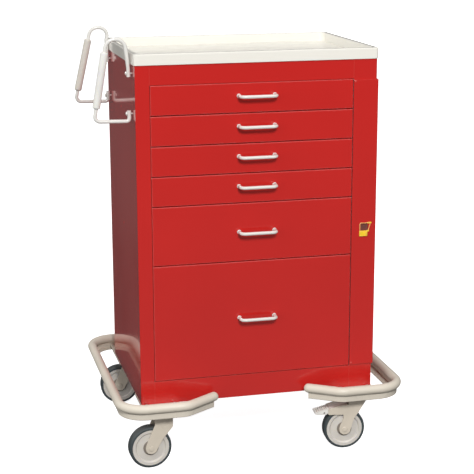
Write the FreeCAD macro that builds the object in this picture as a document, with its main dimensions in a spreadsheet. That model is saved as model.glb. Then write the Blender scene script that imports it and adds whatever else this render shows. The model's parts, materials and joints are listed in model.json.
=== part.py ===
import FreeCAD, Part
import math
import os
import re
from types import SimpleNamespace

from FreeCAD import Placement, Rotation, Vector

# Crash cart: a steel drawer cabinet on four swivel casters, with a raised work tray,
# two wire push handles on the left side, a breakaway lock bar and two wrap-round bumpers.
# Frame: X to the right, Y to the back, Z up, floor at Z = 0. The cabinet stands
# cart_offset to the right of the origin, so that the whole outline is centred on it.

DIMENSIONS = {
    "cart_offset": 12.8,
    # cabinet
    "body_width": 644,
    "body_depth": 450,
    "body_height": 903,
    "floor_gap": 163,
    "steel": 1.5,
    "bend_radius": 3,
    "left_stile": 37,
    "right_stile": 64,
    "back_flange": 20,
    "top_rail": 51,
    "rail_return": 16,
    "liner_gap": 3.5,
    "post_depth": 24,
    "bottom_gauge": 2.5,
    "side_hole_radius": 2.6,
    "side_hole_spacing": 320,
    "side_hole_drop": 133,
    # work tray
    "tray_overhang": 3,
    "tray_back_overhang": 8,
    "tray_height": 28.5,
    "tray_rim": 12,
    "tray_floor": 4,
    "tray_outer_radius": 8,
    "tray_inner_radius": 15,
    "tray_edge_radius": 2.5,
    # drawers
    "drawer_unit": 79,
    "reveal": 0.8,
    "front_depth": 20,
    "front_skin": 1.5,
    "front_edge_radius": 2,
    "box_depth": 400,
    "box_steel": 1.2,
    "box_floor_gap": 8,
    "box_head_room": 20,
    "slide_width": 13,
    "rail_half_height": 18,
    "rail_lip": 10,
    "rail_rise": 34,
    "rail_inset": 0.2,
    "runner_half_height": 15.5,
    "runner_clearance": 0.6,
    # drawer pulls
    "pull_width": 104.8,
    "pull_reach": 30,
    "pull_radius": 4.4,
    "pull_bend": 13,
    "pull_shift": -4.4,
    "pull_drop": 34,
    "pull_share": 0.49,
    "pull_foot_radius": 5.6,
    "pull_foot": 1.2,
    # push handles
    "handle_radius": 5,
    "grip_radius": 10,
    "grip_start": 32,
    "grip_length": 145,
    "grip_round": 4,
    "upper_screw_drop": 24,
    "lower_screw_drop": 127,
    "handle_front_inset": 48,
    "handle_back_inset": 45,
    "handle_standoff": 8,
    "handle_screw_radius": 2.1,
    "handle_screw_head": 4.6,
    "head_gap": 0.4,
    # bumpers
    "bumper_reach_x": 386,
    "bumper_reach_y": 311,
    "bumper_rise": 19,
    "bumper_radius": 12.5,
    "bumper_corner": 68,
    "bumper_elbow": 45,
    "bumper_bend_x": 211,
    "bumper_end_x": 132,
    "bumper_end_y": 258,
    "skirt_gauge": 2.5,
    "skirt_face": 1.5,
    "skirt_top": 10,
    "skirt_bottom": 30,
    "skirt_flange": 20,
    # casters
    "caster_x": 271,
    "caster_y": 251,
    "bracket_gauge": 5,
    "bracket_end_gap": 0.6,
    "bracket_half_width": 52,
    "bracket_inner_y": 128,
    "plate_gauge": 4,
    "plate_half_x": 47.5,
    "plate_half_y": 33,
    "bolt_x": 37.5,
    "bolt_y": 19.4,
    "bolt_radius": 3,
    "bolt_head_radius": 5.5,
    "bolt_head": 4.4,
    "bolt_nut": 3.5,
    "bolt_tail": 0.5,
    "race_radius": 28,
    "race_height": 6.5,
    "swivel_gap": 0.5,
    "kingpin_radius": 5,
    "kingpin_head": 4,
    "running_gap": 0.05,
    "fork_half_width": 22,
    "fork_slot": 19,
    "fork_half_top": 25,
    "fork_front_drop": 26,
    "fork_back_drop": 33,
    "fork_waist_x": -3,
    "fork_waist_z": 82,
    "fork_crown": 5,
    "axle_radius": 4,
    "axle_boss": 15,
    "axle_head_radius": 7,
    "axle_head": 1.2,
    "axle_nut_radius": 6.6,
    "axle_nut": 4,
    "trail": 35.5,
    "wheel_radius": 57,
    "rim_radius": 49.5,
    "rim_wall": 8,
    "tyre_half_width": 16,
    "tyre_shoulder": 5,
    "hub_radius": 14,
    "hub_half_width": 18.5,
    "turn_front_left": 2,
    "turn_front_right": -5,
    "turn_back_left": -4,
    "turn_back_right": 5,
    "wing_reach": 83,
    "wing_top": 128.5,
    "wing_tip": 118,
    "wing_low": 100,
    "pedal_half_width": 17.4,
    "pedal_pin_x": -34,
    "pedal_pin_z": 122,
    "pedal_pin_radius": 2.5,
    "pedal_rib_start": -80,
    "pedal_rib_pitch": 5.5,
    "pedal_rib_gap": 2,
    "pedal_rib_depth": 1.5,
    # lock bar
    "lock_gap": 1.3,
    "lock_gauge": 2.2,
    "lock_proud": 3.5,
    "lock_edge_lap": 0.2,
    "lock_end_gap": 3,
    "hinge_x": 3.4,
    "hinge_y": 13,
    "hinge_radius": 2.6,
    "hinge_pin_radius": 1.3,
    "hinge_gap": 0.5,
    "window_width": 21,
    "window_height": 18,
    "window_x": 293,
    "window_z": 614.5,
    "bar_wall": 1.9,
    "staple_reach": 2,
    "staple_tongue": 8,
    "staple_foot": 22,
    "staple_gauge": 0.8,
    "seal_tag": 15.5,
    "seal_depth": 4,
    "seal_wire": 1.1,
}

DRAWER_UNITS = (1, 1, 1, 1, 2, 4)
KNUCKLES = 9
PEDAL_RIBS = 7

doc = FreeCAD.newDocument("crash_cart")
sheet = doc.addObject("Spreadsheet::Sheet", "dims")
for row, (alias, number) in enumerate(DIMENSIONS.items(), start=1):
    sheet.set(f"A{row}", alias)
    sheet.set(f"B{row}", str(number))
    sheet.setAlias(f"B{row}", alias)
doc.recompute()
d = SimpleNamespace(**{alias: float(sheet.get(alias)) for alias in DIMENSIONS})

HALF_WIDTH = d.body_width / 2
HALF_DEPTH = d.body_depth / 2
BODY_TOP = d.floor_gap + d.body_height
OPENING_LEFT = d.left_stile - HALF_WIDTH
OPENING_RIGHT = HALF_WIDTH - d.right_stile
OPENING_TOP = BODY_TOP - d.top_rail
OPENING_BOTTOM = OPENING_TOP - sum(DRAWER_UNITS) * d.drawer_unit
AXES = {"X": Vector(1, 0, 0), "Y": Vector(0, 1, 0), "Z": Vector(0, 0, 1)}

published = []


# ---------------------------------------------------------------- building blocks

def bind(item, prop, text):
    """Tie a property to a formula of the sheet's own words."""
    item.setExpression(prop, re.sub(r"[a-z][a-z_]*", lambda word: "dims." + word.group(0), text))


def block(name, size, corner):
    """A rectangular block, its three sizes tied to the sheet, its low corner at corner."""
    item = doc.addObject("Part::Box", name)
    for prop, text in zip(("Length", "Width", "Height"), size):
        bind(item, prop, text)
    item.Placement = Placement(Vector(*corner), Rotation())
    return item


def rod(name, radius, height, start, axis="Z"):
    """A cylinder that starts at a point and runs along a positive axis."""
    item = doc.addObject("Part::Cylinder", name)
    bind(item, "Radius", radius)
    bind(item, "Height", height)
    item.Placement = Placement(Vector(*start), Rotation(AXES["Z"], AXES[axis]))
    return item


def fuse(name, pieces):
    item = doc.addObject("Part::MultiFuse", name)
    item.Shapes = pieces
    return item


def cut(name, base, tools):
    item = doc.addObject("Part::Cut", name)
    item.Base = base
    item.Tool = tools[0] if len(tools) == 1 else fuse(name + "_tools", tools)
    return item


def mirror(name, source, normal):
    item = doc.addObject("Part::Mirroring", name)
    item.Source = source
    item.Normal = AXES[normal]
    return item


def outline(points, closed=True):
    """Lines through the points, with each corner rounded by its own radius (x, y, radius)."""
    count = len(points)
    places = [Vector(point[0], point[1], 0) for point in points]
    radii = [point[2] if len(point) > 2 else 0 for point in points]
    starts, ends, arcs = [], [], []
    for index, place in enumerate(places):
        if radii[index] == 0 or (not closed and index in (0, count - 1)):
            starts.append(place)
            ends.append(place)
            arcs.append(None)
            continue
        back = (places[index - 1] - place).normalize()
        ahead = (places[(index + 1) % count] - place).normalize()
        half = back.getAngle(ahead) / 2
        reach = radii[index] / math.tan(half)
        middle = (back + ahead).normalize()
        centre = place + middle * (radii[index] / math.sin(half))
        starts.append(place + back * reach)
        ends.append(place + ahead * reach)
        arcs.append(centre - middle * radii[index])
    edges = []
    for index in range(count):
        if arcs[index] is not None:
            edges.append(Part.Arc(starts[index], arcs[index], ends[index]))
        following = (index + 1) % count
        if following == 0 and not closed:
            break
        if ends[index].distanceToPoint(starts[following]) > 1e-6:
            edges.append(Part.LineSegment(ends[index], starts[following]))
    return edges


def drawn(owner, name, edges):
    sketch = owner.newObject("Sketcher::SketchObject", name) if owner else doc.addObject(
        "Sketcher::SketchObject", name)
    for edge in edges:
        sketch.addGeometry(edge, False)
    return sketch


def on_plane(body, role, name, edges, offset=0):
    """A sketch on one of the body's own origin planes."""
    sketch = drawn(body, name, edges)
    plane = [feature for feature in body.Origin.OriginFeatures if feature.Role == role][0]
    sketch.AttachmentSupport = (plane, [""])
    sketch.MapMode = "FlatFace"
    sketch.AttachmentOffset = Placement(Vector(0, 0, offset), Rotation())
    return sketch


def pad(body, name, role, edges, length, offset=0, midplane=False):
    feature = body.newObject("PartDesign::Pad", name)
    feature.Profile = on_plane(body, role, name + "_sketch", edges, offset)
    bind(feature, "Length", length)
    feature.Midplane = midplane
    return feature


def pocket(body, name, role, edges, length, offset=0, midplane=False):
    """A pocket that must take material away from the solid before it."""
    before = body.Tip
    feature = body.newObject("PartDesign::Pocket", name)
    feature.Profile = on_plane(body, role, name + "_sketch", edges, offset)
    bind(feature, "Length", length)
    feature.Midplane = midplane
    doc.recompute()
    if feature.Shape.Volume >= before.Shape.Volume:
        raise RuntimeError(name + " cuts nothing")
    return feature


def turned(name, profile):
    """A body of revolution about Y from a profile drawn in the XZ sense (radius, place)."""
    body = doc.addObject("PartDesign::Body", name)
    sketch = on_plane(body, "XY_Plane", name + "_sketch", outline(profile))
    feature = body.newObject("PartDesign::Revolution", name + "_turn")
    feature.Profile = sketch
    feature.ReferenceAxis = (sketch, ["V_Axis"])
    feature.Angle = 360
    return body


def bent(name, points, radius, plane="XY", place=Vector()):
    """A round wire bent in one plane, XY or XZ, with tangent arcs at its corners."""
    turn = Rotation() if plane == "XY" else Rotation(AXES["X"], 90)
    path = drawn(None, name + "_path", outline(points, closed=False))
    path.Placement = Placement(place, turn)
    first = Vector(points[0][0], points[0][1], 0)
    second = Vector(points[1][0], points[1][1], 0)
    section = doc.addObject("Part::Circle", name + "_section")
    bind(section, "Radius", radius)
    tangent = turn.multVec(second - first)
    section.Placement = Placement(place + turn.multVec(first), Rotation(AXES["Z"], tangent))
    wire = doc.addObject("Part::Sweep", name)
    wire.Sections = [section]
    wire.Spine = (path, [])
    wire.Solid = True
    return wire


def publish(label, pieces, place=None, turn=None):
    """One sub-part: its solids under one label, set down in the cart's frame."""
    node = doc.addObject("Part::Compound", "part_" + label)
    node.Label = label
    node.Links = pieces
    x, y = place or ("0", "0")
    bind(node, "Placement.Base.x", "cart_offset + " + x)
    bind(node, "Placement.Base.y", y)
    if turn:
        bind(node, "Placement.Rotation.Angle", turn)
    published.append(node)
    return node


# ---------------------------------------------------------------- cabinet

def side_panel(label, side, stile):
    """A folded side: the wall, a front stile and a back flange, bent from one sheet."""
    outer = side * HALF_WIDTH
    inner = side * (HALF_WIDTH - d.steel)
    stile_edge = side * (HALF_WIDTH - stile)
    back_edge = side * (HALF_WIDTH - d.back_flange)
    bend = d.bend_radius
    points = [
        (stile_edge, -HALF_DEPTH), (outer, -HALF_DEPTH, bend),
        (outer, HALF_DEPTH, bend), (back_edge, HALF_DEPTH),
        (back_edge, HALF_DEPTH - d.steel), (inner, HALF_DEPTH - d.steel, bend - d.steel),
        (inner, d.steel - HALF_DEPTH, bend - d.steel), (stile_edge, d.steel - HALF_DEPTH),
    ]
    body = doc.addObject("PartDesign::Body", label + "_body")
    pad(body, label + "_fold", "XY_Plane", outline(points), "body_height", d.floor_gap)
    low_x = min(outer, inner) - d.steel
    tools = []
    for index in range(2):
        height = BODY_TOP - d.side_hole_drop - index * d.side_hole_spacing
        tools.append(rod(f"{label}_hole_{index}", "side_hole_radius", "3 * steel",
                         (low_x, 0, height), "X"))
    if side < 0:
        tools += handle_screw_rods(label + "_screw_hole")
    publish(label, [cut(label + "_drilled", body, tools)])


def handle_places():
    """Where the two push handles stand along the cabinet's side."""
    return (d.handle_front_inset - HALF_DEPTH, HALF_DEPTH - d.handle_back_inset)


def handle_screw_heights():
    return (BODY_TOP - d.upper_screw_drop, BODY_TOP - d.lower_screw_drop)


def handle_screw_rods(name):
    """The four screw shanks that hold the push handles, through wire and wall."""
    start = d.handle_standoff + d.handle_radius + d.head_gap
    rods = []
    for y in handle_places():
        for z in handle_screw_heights():
            rods.append(rod(f"{name}_{len(rods)}", "handle_screw_radius",
                            "handle_standoff + handle_radius + 8 * steel",
                            (-HALF_WIDTH - start, y, z), "X"))
    return rods


def cabinet_sheets():
    """Back, top and bottom sheets, and the two rails that close the front above and below."""
    inside = HALF_WIDTH - d.liner_gap
    behind = HALF_DEPTH - d.liner_gap
    back = block("back_sheet", ("body_width - 2 * liner_gap", "steel", "body_height - 8 * steel"),
                 (-inside, HALF_DEPTH - 2 * d.steel, d.floor_gap + 4 * d.steel))
    publish("back_panel", [back])
    top = block("top_sheet", ("body_width - 2 * liner_gap", "body_depth - 2 * liner_gap", "steel"),
                (-inside, -behind, BODY_TOP - d.steel))
    publish("cabinet_top", [top])
    bottom = block("bottom_sheet",
                   ("body_width - 2 * liner_gap", "body_depth - 2 * liner_gap", "bottom_gauge"),
                   (-inside, -behind, d.floor_gap))
    publish("bottom_pan", [bottom])
    wide = "body_width - left_stile - right_stile"
    top_face = block("top_rail_face", (wide, "steel", "top_rail"),
                     (OPENING_LEFT, -HALF_DEPTH, OPENING_TOP))
    lip_wide = wide + " - 2 * steel"
    lip_left = OPENING_LEFT + d.steel
    top_lip = block("top_rail_lip", (lip_wide, "rail_return", "steel"),
                    (lip_left, -HALF_DEPTH, OPENING_TOP))
    publish("front_top_rail", [fuse("top_rail_fold", [top_face, top_lip])])
    tall = f"body_height - top_rail - {sum(DRAWER_UNITS)} * drawer_unit"
    low_face = block("bottom_rail_face", (wide, "steel", tall),
                     (OPENING_LEFT, -HALF_DEPTH, d.floor_gap))
    low_lip = block("bottom_rail_lip", (lip_wide, "rail_return", "steel"),
                    (lip_left, -HALF_DEPTH, OPENING_BOTTOM - d.steel))
    publish("front_bottom_rail", [fuse("bottom_rail_fold", [low_face, low_lip])])


def rail_plane(side):
    """The plane inside the cabinet that the fixed slide rails are screwed to."""
    return (OPENING_LEFT + d.rail_inset) if side < 0 else (OPENING_RIGHT - d.rail_inset)


def slide_posts():
    """Four folded posts that carry the slide rails level with the drawer opening."""
    posts = []
    room = "body_height - 8 * bottom_gauge"
    for side in (-1, 1):
        wall = side * (HALF_WIDTH - d.liner_gap)
        face = rail_plane(side)
        low = min(wall, face)
        depth = abs(wall - face)
        for end, y in (("front", -HALF_DEPTH + d.steel),
                       ("back", HALF_DEPTH - 3 * d.steel - d.post_depth)):
            name = f"post_{'left' if side < 0 else 'right'}_{end}"
            z = d.floor_gap + 4 * d.bottom_gauge
            shell = block(name + "_shell", (f"{depth}", "post_depth", room), (low, y, z))
            hollow_x = low + d.steel if side > 0 else low - d.steel
            hollow = block(name + "_hollow", (f"{depth}", "post_depth - 2 * steel", room),
                           (hollow_x, y + d.steel, z))
            posts.append(cut(name, shell, [hollow]))
    publish("slide_posts", posts)


def work_tray():
    """The raised work surface: a shallow tray with a rolled rim and rounded corners."""
    left = -HALF_WIDTH - d.tray_overhang
    front = -HALF_DEPTH - d.tray_overhang
    back = HALF_DEPTH + d.tray_back_overhang
    out = d.tray_outer_radius
    rim = d.tray_rim
    within = d.tray_inner_radius
    body = doc.addObject("PartDesign::Body", "tray_body")
    outer = [(left, front, out), (-left, front, out), (-left, back, out), (left, back, out)]
    pad(body, "tray_slab", "XY_Plane", outline(outer), "tray_height", BODY_TOP)
    inner = [(left + rim, front + rim, within), (-left - rim, front + rim, within),
             (-left - rim, back - rim, within), (left + rim, back - rim, within)]
    pocket(body, "tray_recess", "XY_Plane", outline(inner), "tray_height - tray_floor",
           BODY_TOP + d.tray_height)
    shape = body.Tip.Shape
    top = BODY_TOP + d.tray_height
    edges = [f"Edge{index}" for index, edge in enumerate(shape.Edges, start=1)
             if abs(edge.BoundBox.ZMin - top) < 1e-4]
    rounding = body.newObject("PartDesign::Fillet", "tray_rim_round")
    rounding.Base = (body.getObject("tray_recess"), edges)
    bind(rounding, "Radius", "tray_edge_radius")
    publish("top_tray", [body])


# ---------------------------------------------------------------- drawers

def slide_section(web_x, lip, half_height, y, length, z, name, faces_in):
    """A folded channel: a tall web and two lips, open towards the mating member."""
    low_x = web_x if faces_in > 0 else web_x - number(lip)
    low_z = z - number(half_height)
    full = block(name + "_full", (lip, length, f"2 * {half_height}"), (low_x, y, low_z))
    hollow = block(name + "_hollow", (lip, length, f"2 * {half_height} - 2 * steel"),
                   (low_x + faces_in * d.steel, y, low_z + d.steel))
    return cut(name, full, [hollow])


def number(text):
    """The value of one word, or of a difference of words, of the sheet."""
    words = [word.strip() for word in text.split("-")]
    total = getattr(d, words[0])
    for word in words[1:]:
        total -= getattr(d, word)
    return total


def drawer_slots():
    """Each drawer's low and high opening line, from the top drawer down."""
    slots = []
    high = OPENING_TOP
    for units in DRAWER_UNITS:
        low = high - units * d.drawer_unit
        slots.append((units, low, high))
        high = low
    return slots


def fixed_rails():
    rails = []
    start = -HALF_DEPTH + d.front_depth + d.steel
    for index, (_, low, _) in enumerate(drawer_slots(), start=1):
        for side in (-1, 1):
            name = f"rail_{index}_{'left' if side < 0 else 'right'}"
            rails.append(slide_section(rail_plane(side), "rail_lip", "rail_half_height",
                                       start, "box_depth + 5 * steel", low + d.rail_rise,
                                       name, -side))
    publish("drawer_rails", rails)


def drawer_front(index, units, low):
    """A pan-shaped drawer front, open at its back, with softened front edges."""
    name = f"drawer_{index}_front"
    left, right = OPENING_LEFT + d.reveal, OPENING_RIGHT - d.reveal
    bottom, top = low + d.reveal, low + units * d.drawer_unit - d.reveal
    skin = d.front_skin
    body = doc.addObject("PartDesign::Body", name + "_body")
    face = [(left, bottom), (right, bottom), (right, top), (left, top)]
    pad(body, name + "_pan", "XZ_Plane", outline(face), "front_depth", HALF_DEPTH - d.front_depth)
    within = [(left + skin, bottom + skin), (right - skin, bottom + skin),
              (right - skin, top - skin), (left + skin, top - skin)]
    pocket(body, name + "_back", "XZ_Plane", outline(within), "front_depth - front_skin",
           HALF_DEPTH - d.front_skin)
    plane = -HALF_DEPTH
    edges = [f"Edge{count}" for count, edge in enumerate(body.Tip.Shape.Edges, start=1)
             if abs(edge.BoundBox.YMax - plane) < 1e-4]
    rounding = body.newObject("PartDesign::Fillet", name + "_round")
    rounding.Base = (body.getObject(name + "_back"), edges)
    bind(rounding, "Radius", "front_edge_radius")
    publish(name, [body])


def drawer_box(index, units, low):
    """An open-topped drawer box with its two slide runners."""
    name = f"drawer_{index}_box"
    left = rail_plane(-1) + d.slide_width
    right = rail_plane(1) - d.slide_width
    front = -HALF_DEPTH + d.front_depth
    floor = low + d.box_floor_gap
    wide = "body_width - left_stile - right_stile - 2 * slide_width - 2 * rail_inset"
    tall = f"{units} * drawer_unit - box_head_room"
    shell = block(name + "_shell", (wide, "box_depth", tall), (left, front, floor))
    wall = d.box_steel
    hollow = block(name + "_hollow", (wide + " - 2 * box_steel", "box_depth - 2 * box_steel", tall),
                   (left + wall, front + wall, floor + wall))
    solids = [cut(name + "_tray", shell, [hollow])]
    lip = "slide_width - steel - runner_clearance"
    for side, face in ((-1, left), (1, right)):
        runner = f"{name}_runner_{'left' if side < 0 else 'right'}"
        solids.append(slide_section(face, lip, "runner_half_height", front, "box_depth",
                                    low + d.rail_rise, runner, side))
    publish(name, solids)


def drawer_pull(index, units, low):
    """A wire pull with two round feet, square to the drawer front."""
    name = f"drawer_{index}_pull"
    top = low + units * d.drawer_unit
    drop = d.pull_drop if units == 1 else units * d.drawer_unit * d.pull_share
    middle = top - drop
    half = d.pull_width / 2 - d.pull_radius
    bend = d.pull_bend
    reach = -HALF_DEPTH - d.pull_reach
    points = [(d.pull_shift - half, -HALF_DEPTH), (d.pull_shift - half, reach, bend),
              (d.pull_shift + half, reach, bend), (d.pull_shift + half, -HALF_DEPTH)]
    wire = bent(name + "_wire", points, "pull_radius", "XY", Vector(0, 0, middle))
    feet = []
    for side in (-1, 1):
        feet.append(rod(f"{name}_foot_{len(feet)}", "pull_foot_radius", "pull_foot",
                        (d.pull_shift + side * half, -HALF_DEPTH - d.pull_foot, middle), "Y"))
    publish(name, [fuse(name + "_whole", [wire] + feet)])


# ---------------------------------------------------------------- push handles

def handle_path(label):
    """Outward distance from the side and height over the cabinet's top, corner radii last."""
    near = d.handle_standoff
    if label == "front":
        arch = [(near, -12, 20), (near + 9, 62.5, 25.5), (62.7, 62.5, 25.5), (98.5, -145, 13)]
    else:
        arch = [(near + 1.4, 28, 15), (-1.5, 61.5, 22), (52.5, 61.5, 24), (99.5, -142, 13)]
    low = arch[-1][1]
    return [(near, -33)] + arch + [(near - 0.5, low - 2, 8), (near, low + 26)]


def push_handles():
    for label, y in zip(("front", "back"), handle_places()):
        points = [(-HALF_WIDTH - out, BODY_TOP + height, *rest)
                  for out, height, *rest in handle_path(label)]
        upper, lower = points[-4], points[-3]
        slope = Vector(lower[0] - upper[0], 0, lower[1] - upper[1]).normalize()
        name = "push_handle_" + label
        wire = bent(name + "_wire", points, "handle_radius", "XZ", Vector(0, y, 0))
        publish(name, [cut(name + "_drilled", wire, handle_screw_rods(name + "_hole"))])
        sleeve = doc.addObject("Part::Cylinder", name + "_sleeve")
        bind(sleeve, "Radius", "grip_radius")
        bind(sleeve, "Height", "grip_length")
        place = Placement(Vector(upper[0], y, upper[1]) + slope * d.grip_start,
                          Rotation(AXES["Z"], slope))
        sleeve.Placement = place
        soft = doc.addObject("Part::Fillet", name + "_sleeve_round")
        doc.recompute()
        rims = [index for index, edge in enumerate(sleeve.Shape.Edges, start=1)
                if edge.Closed and edge.Length > 3 * d.grip_radius]
        soft.Base = sleeve
        soft.Edges = [(index, d.grip_round, d.grip_round) for index in rims]
        bore = doc.addObject("Part::Cylinder", name + "_bore")
        bind(bore, "Radius", "handle_radius")
        bind(bore, "Height", "grip_length")
        bore.Placement = place
        publish("handle_grip_" + label, [cut("handle_grip_" + label + "_tube", soft, [bore])])


def handle_screws():
    screws = []
    start = -HALF_WIDTH - d.handle_standoff - d.handle_radius - d.head_gap
    shanks = handle_screw_rods("handle_shank")
    for shank in shanks:
        base = shank.Placement.Base
        name = f"handle_screw_{len(screws)}"
        ball = doc.addObject("Part::Sphere", name + "_dome")
        bind(ball, "Radius", "handle_screw_head")
        ball.Placement = Placement(Vector(start, base.y, base.z), Rotation())
        inner = block(name + "_seat", ("4 * handle_screw_head", "4 * handle_screw_head",
                                       "4 * handle_screw_head"),
                      (start, base.y - 2 * d.handle_screw_head, base.z - 2 * d.handle_screw_head))
        dome = cut(name + "_head", ball, [inner])
        screws.append(fuse(name, [dome, shank]))
    publish("handle_screws", screws)


# ---------------------------------------------------------------- bumpers

def bumper_points(side):
    """The bumper's centre line on one side, from its front end round to its back end."""
    x, y = d.bumper_reach_x, d.bumper_reach_y
    half = [(d.bumper_end_x, d.bumper_end_y), (d.bumper_bend_x, y, d.bumper_elbow),
            (x, y, d.bumper_corner)]
    front = [(side * px, -py, *rest) for px, py, *rest in half]
    back = [(side * px, py, *rest) for px, py, *rest in reversed(half)]
    return front + back


def bumpers():
    height = d.floor_gap + d.bumper_rise
    points = bumper_points(1)
    tube = bent("bumper_tube", points, "bumper_radius", "XY", Vector(0, 0, height))
    caps = []
    for x, y in (points[0][:2], points[-1][:2]):
        ball = doc.addObject("Part::Sphere", f"bumper_cap_{len(caps)}")
        bind(ball, "Radius", "bumper_radius")
        ball.Placement = Placement(Vector(x, y, height), Rotation())
        caps.append(ball)
    right = fuse("bumper_rail_whole", [tube] + caps)
    publish("bumper_rail_right", [right])
    publish("bumper_rail_left", [mirror("bumper_rail_mirror", right, "X")])

    start = Vector(points[0][0], points[0][1], 0)
    along = (Vector(points[1][0], points[1][1], 0) - start).normalize()
    outward = Vector(along.y, -along.x, 0)
    face, wall = d.skirt_face, d.skirt_gauge
    low, high = -d.skirt_bottom, -d.skirt_top
    section = drawn(None, "skirt_section", outline([
        (face, high), (face, low, wall), (face - d.skirt_flange, low),
        (face - d.skirt_flange, low + wall), (face - wall, low + wall), (face - wall, high)]))
    section.Placement = Placement(Vector(start.x, start.y, height),
                                  Rotation(outward, AXES["Z"], -along, "XYZ"))
    path = drawn(None, "skirt_path", outline(points, closed=False))
    path.Placement = Placement(Vector(0, 0, height), Rotation())
    skirt = doc.addObject("Part::Sweep", "skirt_sweep")
    skirt.Sections = [section]
    skirt.Spine = (path, [])
    skirt.Solid = True
    skirt.Frenet = False
    core = bent("skirt_core", points, "bumper_radius", "XY", Vector(0, 0, height))
    trimmed = cut("skirt_trimmed", skirt, [core])
    publish("bumper_skirt_right", [trimmed])
    publish("bumper_skirt_left", [mirror("bumper_skirt_mirror", trimmed, "X")])


# ---------------------------------------------------------------- casters

CORNERS = {
    "front_left": (-1, -1),
    "front_right": (1, -1),
    "back_left": (-1, 1),
    "back_right": (1, 1),
}


def caster_corner_pieces():
    """What is fixed under each corner: bracket, plate with its race and kingpin, and bolts."""
    brackets, plates, bolts = [], [], []
    plate_top = d.floor_gap - d.bracket_gauge
    plate_low = plate_top - d.plate_gauge
    race_low = plate_low - d.race_height
    crown_low = race_low - d.swivel_gap - d.fork_crown
    outer = d.bumper_reach_y + d.skirt_face - d.skirt_gauge - d.bracket_end_gap
    for label, (side, end) in CORNERS.items():
        x, y = side * d.caster_x, end * d.caster_y
        low_y = -outer if end < 0 else d.bracket_inner_y
        slab = block(label + "_bracket_slab",
                     ("2 * bracket_half_width",
                      "bumper_reach_y + skirt_face - skirt_gauge - bracket_end_gap"
                      " - bracket_inner_y",
                      "bracket_gauge"), (x - d.bracket_half_width, low_y, plate_top))
        plate = block(label + "_plate_slab", ("2 * plate_half_x", "2 * plate_half_y",
                                              "plate_gauge"),
                      (x - d.plate_half_x, y - d.plate_half_y, plate_low))
        race = rod(label + "_race", "race_radius", "race_height", (x, y, race_low))
        pin = rod(label + "_kingpin", "kingpin_radius", "race_height + swivel_gap + fork_crown + 1",
                  (x, y, crown_low - 1))
        rivet = rod(label + "_kingpin_head", "2 * kingpin_radius", "kingpin_head",
                    (x, y, crown_low - d.swivel_gap - d.kingpin_head))
        holes = []
        for step_x in (-1, 1):
            for step_y in (-1, 1):
                place = (x + step_x * d.bolt_x, y + step_y * d.bolt_y)
                name = f"{label}_bolt_{len(holes)}"
                shank = rod(name + "_shank", "bolt_radius",
                            "bracket_gauge + plate_gauge + bolt_nut + bolt_tail",
                            (*place, plate_low - d.bolt_nut - d.bolt_tail))
                head = rod(name + "_head", "bolt_head_radius", "bolt_head",
                           (*place, d.floor_gap))
                nut = rod(name + "_nut", "bolt_head_radius", "bolt_nut",
                          (*place, plate_low - d.bolt_nut))
                bolts.append(fuse(name, [shank, head, nut]))
                holes.append(rod(name + "_hole", "bolt_radius + 2 * running_gap",
                                 "bracket_gauge + plate_gauge", (*place, plate_low)))
        brackets.append(cut(label + "_bracket", slab, holes))
        plates.append(cut(label + "_plate", fuse(label + "_plate_whole",
                                                 [plate, race, pin, rivet]), holes))
    publish("caster_brackets", brackets)
    publish("caster_plates", plates)
    publish("caster_bolts", bolts)


def fork_levels():
    plate_low = d.floor_gap - d.bracket_gauge - d.plate_gauge
    crown_top = plate_low - d.race_height - d.swivel_gap
    return crown_top, crown_top - d.fork_crown


def fork_body(name, winged):
    """The pressed fork: a crown over the wheel and two legs that run back to the axle.

    The winged one has a plate on each leg that reaches forward beside the brake pedal."""
    crown_top, crown_low = fork_levels()
    half = d.fork_half_top
    boss = d.axle_boss
    axle_x, axle_z = -d.trail, d.wheel_radius
    if winged:
        trailing = [(half - 1, crown_top - 7, 4), (4.5, 108, 40), (-10, 87, 30)]
    else:
        trailing = [(half - 1, crown_top - d.fork_back_drop, 8),
                    (d.fork_waist_x, d.fork_waist_z, 30)]
    points = [(-half, crown_top, 4), (half - 1, crown_top, 4), *trailing,
              (axle_x + boss + 1, axle_z - 2, 14),
              (axle_x + boss, axle_z - boss, boss - 0.5),
              (axle_x - boss, axle_z - boss, boss - 0.5), (axle_x - boss, axle_z + 6, 12),
              (-half, crown_top - d.fork_front_drop, 16)]
    body = doc.addObject("PartDesign::Body", name + "_body")
    pad(body, name + "_blank", "XZ_Plane", outline(points), "2 * fork_half_width", midplane=True)
    if winged:
        reach, top, low = -d.wing_reach, d.wing_top, d.wing_low
        wing = [(-half / 2, top), (reach / 2 - 2, top, 25), (reach + 2, d.wing_tip, 2),
                (reach, low + 1.5, 3), (reach / 2 + 2, low, 4), (axle_x - 4, low - 10),
                (-half / 2, low - 10)]
        pad(body, name + "_wings", "XZ_Plane", outline(wing), "2 * fork_half_width",
            midplane=True)
    span = 3 * d.trail
    slot = [(-span, -1), (span, -1), (span, crown_low), (-span, crown_low)]
    pocket(body, name + "_slot_cut", "XZ_Plane", outline(slot), "2 * fork_slot", midplane=True)
    holes = [rod(name + "_pin_hole", "kingpin_radius + running_gap", "2 * fork_crown",
                 (0, 0, crown_low - d.fork_crown / 2)),
             rod(name + "_axle_hole", "axle_radius", "4 * fork_half_width",
                 (axle_x, -2 * d.fork_half_width, axle_z), "Y")]
    if winged:
        holes.append(rod(name + "_pedal_hole", "pedal_pin_radius", "4 * fork_half_width",
                         (d.pedal_pin_x, -2 * d.fork_half_width, d.pedal_pin_z), "Y"))
    return cut(name, body, holes)


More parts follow.
